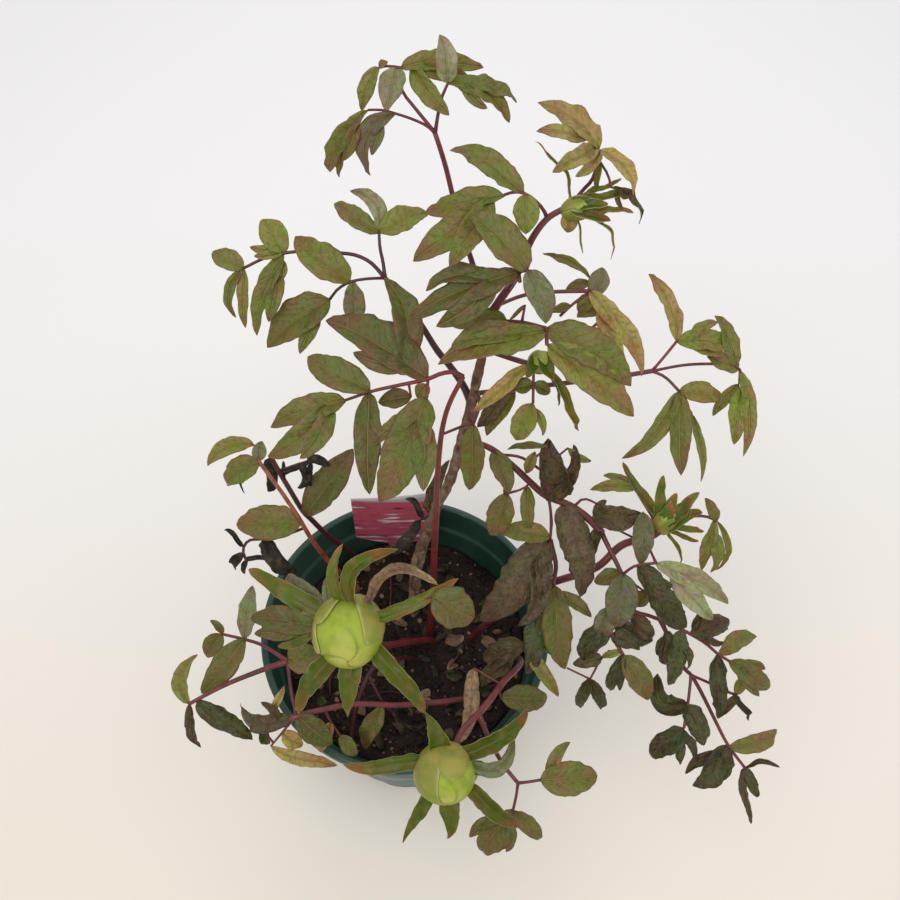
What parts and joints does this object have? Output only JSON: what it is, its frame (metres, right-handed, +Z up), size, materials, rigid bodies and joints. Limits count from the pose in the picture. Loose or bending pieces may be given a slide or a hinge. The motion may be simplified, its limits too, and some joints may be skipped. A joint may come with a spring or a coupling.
{
  "type": "potted tree peony",
  "caption": "Young tree peony with flower buds, compound leaves on red stalks and a plant label, growing in a round slotted nursery pot of soil.",
  "frame": {"origin": "centre of the pot's flat base", "axes": "+Z up along the pot's axis, +X to the right and +Y to the back as the plant is seen from the front"},
  "size_m": [0.4059, 0.3234, 0.5712],
  "materials": {
    "pot_plastic": "satin moulded plastic",
    "soil": "crumbly moist potting soil",
    "label_plastic": "printed glossy sheet",
    "bark": "rough tan bark",
    "leaf_green": "matte living leaf with red stalks",
    "leaf_dry": "dry crumpled leaf",
    "bud_green": "smooth waxy bud with green bracts"
  },
  "bodies": {
    "root": {"pot": "pot_plastic", "soil": "soil", "label": "label_plastic", "trunk": "bark", "leaf_top": "leaf_green", "leaf_shoot_inner": "leaf_green", "leaf_crown": "leaf_green", "leaf_middle": "leaf_green", "leaf_rear_right": "leaf_green", "leaf_right": "leaf_green", "leaf_left": "leaf_green", "leaf_front": "leaf_green", "leaf_trunk": "leaf_dry", "leaf_centre": "leaf_green", "leaf_below_centre": "leaf_green", "leaf_right_upper": "leaf_green", "leaf_right_low": "leaf_green", "leaf_inner_right": "leaf_green", "leaf_hanging": "leaf_green", "leaf_front_right": "leaf_green", "leaf_low_left": "leaf_green", "leaf_wilted": "leaf_dry", "leaf_black": "leaf_dry", "shoot_right": "leaf_green", "shoot_left_orange": "leaf_green", "shoot_left_dark": "leaf_green", "bud_top": "bud_green", "bud_centre": "bud_green", "bud_right": "bud_green", "bud_left": "bud_green", "bud_front": "bud_green"}
  },
  "joints": []
}
